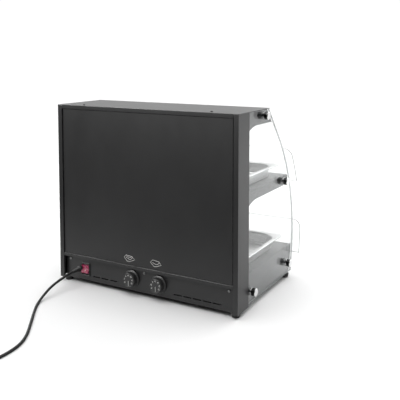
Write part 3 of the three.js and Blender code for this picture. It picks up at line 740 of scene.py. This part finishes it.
def make_tray(node):
    """Pressed stainless tray: filleted floor, drafted walls and a rolled-down rim."""
    low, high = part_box(node)
    centre = (low + high) / 2
    half = (high - low) / 2
    depth = high.z - low.z
    sheet, rim, draft = 0.9 * MM, 13 * MM, 3 * MM
    lip = 3.2 * MM                      # how far the rim is rolled down
    rim_radius, wall_radius, floor_radius = 16 * MM, 50 * MM, 9 * MM
    floor_inset = rim + draft + 40 * MM
    # Each point of the pressed section: how far inside the rim's edge, height, and corner radius.
    inside = rounded([
        (floor_inset, sheet), (rim + draft + sheet, sheet), (rim + sheet * 0.5, depth), (sheet, depth),
        (0, depth - sheet), (0, depth - lip),
    ], 5 * MM, 6)
    outside = rounded([
        (sheet, depth - lip), (sheet, depth - sheet), (rim - sheet * 0.5, depth - sheet),
        (rim + draft, 0), (floor_inset, 0),
    ], 5 * MM, 6)
    rings = []
    for inset, height in [*inside, *outside]:
        walls = min(max((inset - 2 * MM) / (rim - 2 * MM), 0), 1)
        radius = rim_radius + (wall_radius - rim_radius) * smooth_step(walls)
        if inset > rim:
            radius = max(wall_radius - (inset - rim) * 0.9, floor_radius)
        rings.append(rounded_rectangle(centre, half.x - inset, half.y - inset, radius, low.z + height))
    count = len(rings[0])
    vertices = [p for ring in rings for p in ring]
    faces = []
    for level in range(len(rings) - 1):
        for i in range(count):
            j = (i + 1) % count
            a, b = level * count, (level + 1) * count
            faces.append((a + i, a + j, b + j, b + i))
    faces.append(tuple(range(count)))
    faces.append(tuple(range((len(rings) - 1) * count, len(rings) * count)))
    piece = new_object(f"{node}_pressing", mesh_from(f"{node}_pressing", vertices, faces), STAINLESS, node)
    even_shading(piece)
    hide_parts(node)


for name in ("upper_tray", "lower_tray"):
    make_tray(name)


# ---- turned hardware ------------------------------------------------------------------------------
def make_panel_nut(node):
    """Polished cap nut: a drum with a fine groove near its foot and a chamfered end."""
    low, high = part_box(node)
    centre = (low + high) / 2
    side = 1 if centre.x > 0 else -1
    inner = low.x if side > 0 else high.x
    outer = high.x if side > 0 else low.x
    length = abs(outer - inner)
    start = length - 15 * MM
    radius, groove, chamfer = 10.5 * MM, 0.5 * MM, 1.3 * MM
    profile = [
        (0, 0), (3 * MM, 0), (3 * MM, start), (radius - 0.4 * MM, start), (radius, start + 0.5 * MM),
        (radius, start + 2.2 * MM), (radius - groove, start + 2.6 * MM), (radius - groove, start + 3.2 * MM),
        (radius, start + 3.6 * MM), (radius, length - chamfer), (radius - chamfer, length), (0, length),
    ]
    place = Vector((inner, centre.y, centre.z))
    mesh = turned_mesh(f"{node}_cap", rounded(profile, 0.35 * MM, 3), place, (side, 0, 0), 56)
    piece = new_object(f"{node}_cap", mesh, POLISHED)
    # the drum's side wall takes the near-black steel as a painted dark reflection; the polished end stays
    # bright
    mesh.materials.append(NUT_WALL_PAINTED_REFLECTION)
    for polygon in mesh.polygons:
        if abs(polygon.normal.x) < 0.3:
            polygon.material_index = 1
    even_shading(piece)
    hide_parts(node)


BOX_FACES = [(0, 1, 3, 2), (4, 6, 7, 5), (0, 4, 5, 1), (2, 3, 7, 6), (0, 2, 6, 4), (1, 5, 7, 3)]
SCREW_HEAD = (3.6 * MM, 2.3 * MM)       # radius and height


def make_cross_screw(node, axis, head_radius, head_height, material, slot_name):
    """Pan-head screw with a cross recess; its head stands out along axis."""
    low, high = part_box(node)
    centre = (low + high) / 2
    direction = Vector(axis)
    length = abs((high - low).dot(direction))
    foot = centre - direction * length / 2
    neck = length - head_height
    profile = [
        (0, 0), (1.6 * MM, 0), (1.6 * MM, neck), (head_radius, neck), (head_radius, neck + 0.5 * head_height),
        (head_radius * 0.72, length), (0, length),
    ]
    mesh = turned_mesh(f"{node}_head", rounded(profile, 0.6 * MM, 4), foot, direction, 40)
    tip = foot + direction * length
    across = Vector((1, 0, 0))
    upright = direction.cross(across)
    deep, arm, half = 1.1 * MM, head_radius * 0.62, 0.42 * MM
    cutters = []
    for long_way, short_way in ((across, upright), (upright, across)):
        corners = []
        for a in (-1, 1):
            for b in (-1, 1):
                for c in (-1, 1):
                    taper = 1.0 if c > 0 else 0.55
                    aside = long_way * a * arm * taper + short_way * b * half
                    corners.append(tip + aside + direction * c * deep)
        cutters.append(mesh_from("recess", corners, BOX_FACES, smooth=False))
    piece = new_object(f"{node}_head", carved(f"{node}_head", mesh, cutters), material)
    for polygon in piece.data.polygons:
        polygon.use_smooth = False
    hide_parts(node)


def make_guard_bolt(node):
    """Button-head bolt with a spacer, and a hexagon socket in its head."""
    low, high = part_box(node)
    centre = (low + high) / 2
    length = high.y - low.y
    head = 2.6 * MM
    profile = [
        (0, 0), (2.4 * MM, 0), (2.4 * MM, length - head), (6 * MM, length - head),
        (5.2 * MM, length - 0.7 * MM), (3.6 * MM, length), (0, length),
    ]
    place = Vector((centre.x, high.y, centre.z))
    mesh = turned_mesh(f"{node}_shank", rounded(profile, 0.7 * MM, 4), place, (0, -1, 0), 48)
    tip = Vector((centre.x, low.y, centre.z))
    socket = turned_mesh(
        "socket", in_metres([(0, -1.8), (2.1, -1.8), (2.1, 1.5), (0, 1.5)]), tip, (0, -1, 0), 6)
    bolt = carved(f"{node}_shank", mesh, [socket])
    # The spacer fills the room behind the guard, between 2 and 8 mm of it.
    rear = high.y - 6.2 * MM
    guard_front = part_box(node.split("_guard")[0] + "_front_guard")[0].y
    width = rear - max(rear - 8 * MM, min(rear - 2 * MM, guard_front + 5.5 * MM))
    ring = rounded([(2.5 * MM, 0), (6 * MM, 0), (6 * MM, width), (2.5 * MM, width)], 0.3 * MM, 2)
    collar = turned_mesh("collar", [*ring, ring[0]], Vector((centre.x, rear, centre.z)), (0, -1, 0), 40)
    piece = new_object(f"{node}_shank", joined(f"{node}_shank", [bolt, collar]), POLISHED)
    for polygon in piece.data.polygons:
        polygon.use_smooth = False
    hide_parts(node)


def make_foot(node):
    """Rubber foot: tapered, with a moulded lip and a dished sole."""
    low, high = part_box(node)
    centre = (low + high) / 2
    height = high.z - low.z
    rubber = in_metres([
        (0, 0.9), (6.5, 0.9), (7.2, 0), (9.6, 0), (10.4, 1), (10.9, 6.6), (12, 7.4), (12, 11.7), (4, 11.7),
    ])
    profile = rounded([*rubber, (4 * MM, height), (0, height)], 0.5 * MM, 3)
    mesh = turned_mesh(f"{node}_rubber", profile, Vector((centre.x, centre.y, low.z)), (0, 0, 1), 56)
    piece = new_object(f"{node}_rubber", mesh, RUBBER)
    even_shading(piece)
    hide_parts(node)


for name in sorted(NODES):
    if name.endswith("_panel_nut"):
        make_panel_nut(name)
    elif name.endswith("_strip_screw"):
        make_cross_screw(name, (0, 1, 0), *SCREW_HEAD, SCREW_STEEL, "polished_steel")
    elif name.endswith("_cover_screw"):
        make_cross_screw(name, (0, 0, 1), *SCREW_HEAD, PLASTIC, "black_plastic")
    elif name.endswith("_bolt"):
        make_guard_bolt(name)
    elif name.endswith("_foot"):
        make_foot(name)


# ---- printed marks --------------------------------------------------------------------------------
PRINT_THICK = 0.12 * MM


def printed(name, curve, place, turn=None):
    """A flat mark out of a curve or text in its own XY plane, laid on a face that looks along +Y."""
    holder = bpy.data.objects.new(name, curve)
    mesh = bpy.data.meshes.new_from_object(holder)
    bpy.data.objects.remove(holder)
    upright = Matrix(((-1, 0, 0), (0, 0, 1), (0, 1, 0))).to_4x4()
    mesh.transform(Matrix.Translation(place) @ (turn or Matrix.Identity(4)) @ upright)
    for vertex in mesh.vertices:
        vertex.co.y = place.y + max(min(vertex.co.y - place.y, PRINT_THICK), -PRINT_THICK)
    return mesh


def line_mesh(name, lines, width, place):
    """Line art: each line is a list of (x, z) points in millimetres, seen from the operator's side."""
    curve = bpy.data.curves.new(name, "CURVE")
    curve.dimensions = "3D"
    curve.bevel_depth = width / 2
    curve.bevel_resolution = 2
    curve.use_fill_caps = True
    for points, closed in lines:
        spline = curve.splines.new("POLY")
        spline.points.add(len(points) - 1)
        for point, (x, z) in zip(spline.points, points):
            point.co = (x * MM, z * MM, 0, 1)
        spline.use_cyclic_u = closed
    return printed(name, curve, place)


def text_mesh(name, words, size, place, turn):
    text = bpy.data.curves.new(name, "FONT")
    text.body = words
    text.size = size
    text.align_x = "CENTER"
    text.align_y = "CENTER"
    text.extrude = PRINT_THICK
    return printed(name, text, place, turn)


def icon_lines(full):
    """A tray in parallel view with food on it; the fuller one stands for the upper deck."""
    tray = [(-17, 1.5), (-10, 8.5), (9, 6.5), (17.5, -1.5), (12, -4), (2, -8), (-6, -8.5), (-12, -3)]
    mound = [(-11, 1.5), (-5, -0.5), (0, -2.5), (5, -1.5), (9.5, 1.5), (11, 4.5)]
    lines = [(tray, True), (mound, False)]
    if full:
        lines.append(([(-10, 8.5), (-7, 4.5), (-1, 3.2), (5, 3.4), (9, 6.5)], False))
    return lines


ICON_HEIGHT = 102.7
ICON_STROKE = 1.15


def make_icons():
    """The two printed marks over the dials, one for each deck."""
    for name, x, full in (("upper_deck_icon", 43, True), ("lower_deck_icon", -43, False)):
        place = Vector((x * MM, PANEL_HIGH.y, ICON_HEIGHT * MM))
        mesh = line_mesh(name, icon_lines(full), ICON_STROKE * MM, place)
        piece = new_object(name, mesh, PRINT)


DIAL_NUMBERS = ["30", "40", "50", "60", "70", "80", "90"]
NUMBERS_SWEEP = 240                 # degrees from the first number to the last
NUMBERS_RADIUS = 13.2
NUMBER_SIZE = 5.0
DIAL_FACE_HEIGHT = 17.5


def make_dial(node):
    """Skirted dial with a fluted grip, a slightly dished face, a pointer line and a ring of numbers."""
    low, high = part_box(node)
    centre = (low + high) / 2
    profile = rounded(in_metres([
        (0, 1.2), (3.4, 1.2), (3.4, 0), (24, 0), (24, 2.2), (22.6, 3.3), (20.4, 3.9), (19.6, 5.2),
        (18.9, 15.8), (18.1, 17.8), (16.9, 17.8), (16.6, DIAL_FACE_HEIGHT), (0, DIAL_FACE_HEIGHT),
    ]), 0.5 * MM, 3)
    place = Vector((centre.x, low.y, centre.z))
    grip = (36, 0.45 * MM, 5.5 * MM, 15 * MM)
    mesh = turned_mesh(f"{node}_moulding", profile, place, (0, 1, 0), 144, flutes=grip)
    piece = new_object(f"{node}_moulding", mesh, DIAL_FACE, node)
    even_shading(piece)
    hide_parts(node)
    face = Vector((centre.x, low.y + DIAL_FACE_HEIGHT * MM, centre.z))
    meshes = [line_mesh("pointer", [([(0, -2), (0, -16)], False)], 1.1 * MM, face)]
    for i, number in enumerate(DIAL_NUMBERS):
        angle = math.radians(-NUMBERS_SWEEP / 2 + NUMBERS_SWEEP * i / (len(DIAL_NUMBERS) - 1))
        turn = Matrix.Rotation(-angle, 4, Vector((0, -1, 0)))
        offset = Vector((-math.sin(angle) * NUMBERS_RADIUS * MM, 0, math.cos(angle) * NUMBERS_RADIUS * MM))
        meshes.append(text_mesh("number", number, NUMBER_SIZE * MM, face + offset, turn))
    marks = new_object(f"{node}_marks", joined(f"{node}_marks", meshes), PRINT, node)


ROCKER_TILT = math.radians(10)      # it rests tipped to its on side
ROCKER_FACET = math.radians(41)     # slope of its two hollowed faces
ROCKER_REACH = (7.9, 4.3)           # from its pivot to the middle of a face, outwards and up
ROCKER_PIVOT_DEPTH = 5              # behind the control strip's face


def make_rocker():
    """The CAD rocker keeps its shape; its on and off marks are added to its two faces."""
    dress("switch_rocker", LENS, 0.7 * MM)
    centre = middle("switch_housing")
    pivot = Vector((centre.x, STRIP_FACE - ROCKER_PIVOT_DEPTH * MM, centre.z))
    ring = [(2.1 * math.cos(math.pi * i / 12), 2.1 * math.sin(math.pi * i / 12)) for i in range(24)]
    meshes = []
    for lines, width, up in (([([(0, -2.4), (0, 2.4)], False)], 1.8, -1), ([(ring, True)], 0.9, 1)):
        mark = line_mesh("rocker_mark", lines, width * MM, Vector())
        outwards_by = Vector((0, ROCKER_REACH[0], up * ROCKER_REACH[1])) * MM
        tilt = Matrix.Rotation(ROCKER_TILT, 4, "X")
        facet = Matrix.Rotation(-up * ROCKER_FACET, 4, "X")
        mark.transform(Matrix.Translation(pivot) @ tilt @ Matrix.Translation(outwards_by) @ facet)
        meshes.append(mark)
    marks = new_object("rocker_marks", joined("rocker_marks", meshes), PRINT, "switch_rocker")


make_icons()
for name in ("upper_deck_dial", "lower_deck_dial"):
    make_dial(name)
make_rocker()

# ---- floor, backdrop and light ----------------------------------------------------------------------
OPERATOR_SIDE = (0.40, -0.30)       # the sine towards +Y between which the surroundings brighten
OPERATOR_GLOW = 0.05
CUSTOMER_GLOW = 1.0
BACKDROP_WHITE = 1.03               # the surroundings as the camera sees them
FLOOR_REACH = 30                    # from the middle to each side
FLOOR_DIMS = (0.22, 0.8)            # between these Y the floor goes dark, in mirrors only
OVERHEAD_STRENGTH = 2.15
OVERHEAD_SPREAD = math.radians(70)
OVERHEAD_TILT = math.radians(-12)


def make_floor():
    """Pale floor; in mirrors its part behind the operator is dim, where the studio's light ends."""
    nodes = Nodes("studio_floor")
    tree = nodes.tree
    tone = nodes.noise(3, 2)
    colour = nodes.blended(tone, (0.90, 0.90, 0.90), (0.915, 0.915, 0.915))
    split = tree.nodes.new("ShaderNodeSeparateXYZ")
    nodes.link(nodes.places, split.inputs[0])
    unlit = nodes.ranged(split.outputs["Y"], 0, 0.95, *FLOOR_DIMS)
    paths = tree.nodes.new("ShaderNodeLightPath")
    dimmed = tree.nodes.new("ShaderNodeMath")
    dimmed.operation = "MULTIPLY"
    nodes.link(unlit, dimmed.inputs[0])
    nodes.link(paths.outputs["Is Glossy Ray"], dimmed.inputs[1])
    shown = tree.nodes.new("ShaderNodeMix")
    shown.data_type = "RGBA"
    nodes.link(dimmed.outputs[0], shown.inputs["Factor"])
    nodes.link(colour, shown.inputs["A"])
    shown.inputs["B"].default_value = (0, 0, 0, 1)
    material = nodes.finish(shown.outputs["Result"], Roughness=0.9)
    corners = [(x * FLOOR_REACH, y * FLOOR_REACH, 0) for x, y in ((-1, -1), (1, -1), (1, 1), (-1, 1))]
    mesh = mesh_from("floor", corners, [(0, 1, 2, 3)], smooth=False)
    floor = linked("floor", mesh)
    mesh.materials.append(material)


def make_area(name, place, aim, size, energy):
    """A rectangular lamp at a place, turned towards the point aim."""
    light = bpy.data.lights.new(name, "AREA")
    light.shape = "RECTANGLE"
    light.size, light.size_y = size
    light.energy = energy
    lamp = linked(name, light)
    aimed(lamp, place, Vector(aim) - Vector(place))
    return lamp


def make_overhead():
    """Broad soft light from straight above, the same everywhere on the floor."""
    light = bpy.data.lights.new("overhead", "SUN")
    light.energy = OVERHEAD_STRENGTH
    light.angle = OVERHEAD_SPREAD
    lamp = linked("overhead", light)
    lamp.rotation_euler = (OVERHEAD_TILT, 0, 0)


def make_world():
    """White to the eye; as a light, dimmer on the operator's side than on the customer's."""
    world = bpy.data.worlds.new("studio")
    bpy.context.scene.world = world
    world.use_nodes = True
    tree = world.node_tree
    background = tree.nodes["Background"]
    places = tree.nodes.new("ShaderNodeTexCoord")
    split = tree.nodes.new("ShaderNodeSeparateXYZ")
    tree.links.new(places.outputs["Generated"], split.inputs[0])
    ranged = tree.nodes.new("ShaderNodeMapRange")
    ranged.inputs["From Min"].default_value = OPERATOR_SIDE[0]
    ranged.inputs["From Max"].default_value = OPERATOR_SIDE[1]
    ranged.inputs["To Min"].default_value = OPERATOR_GLOW
    ranged.inputs["To Max"].default_value = CUSTOMER_GLOW
    tree.links.new(split.outputs["Y"], ranged.inputs["Value"])
    paths = tree.nodes.new("ShaderNodeLightPath")
    shown = tree.nodes.new("ShaderNodeMix")
    shown.data_type = "FLOAT"
    tree.links.new(paths.outputs["Is Camera Ray"], shown.inputs["Factor"])
    tree.links.new(ranged.outputs[0], shown.inputs["A"])
    shown.inputs["B"].default_value = BACKDROP_WHITE
    tree.links.new(shown.outputs["Result"], background.inputs["Strength"])
    background.inputs["Color"].default_value = (1, 1, 1, 1)


bpy.context.scene.view_settings.view_transform = "Standard"
make_floor()
make_world()
make_overhead()
make_area("front_light", place=(-0.6, -2.6, 1.5), aim=(0, 0, 0.35), size=(3.0, 1.6), energy=22)
sheen_light = make_area(
    "sheen_light", place=(1.1, 1.6, 1.45), aim=(0, 0.18, 0.45), size=(1.8, 0.3), energy=165)
sheen_light.visible_diffuse = False     # it only puts the soft sheen on the upper part of the rear panel
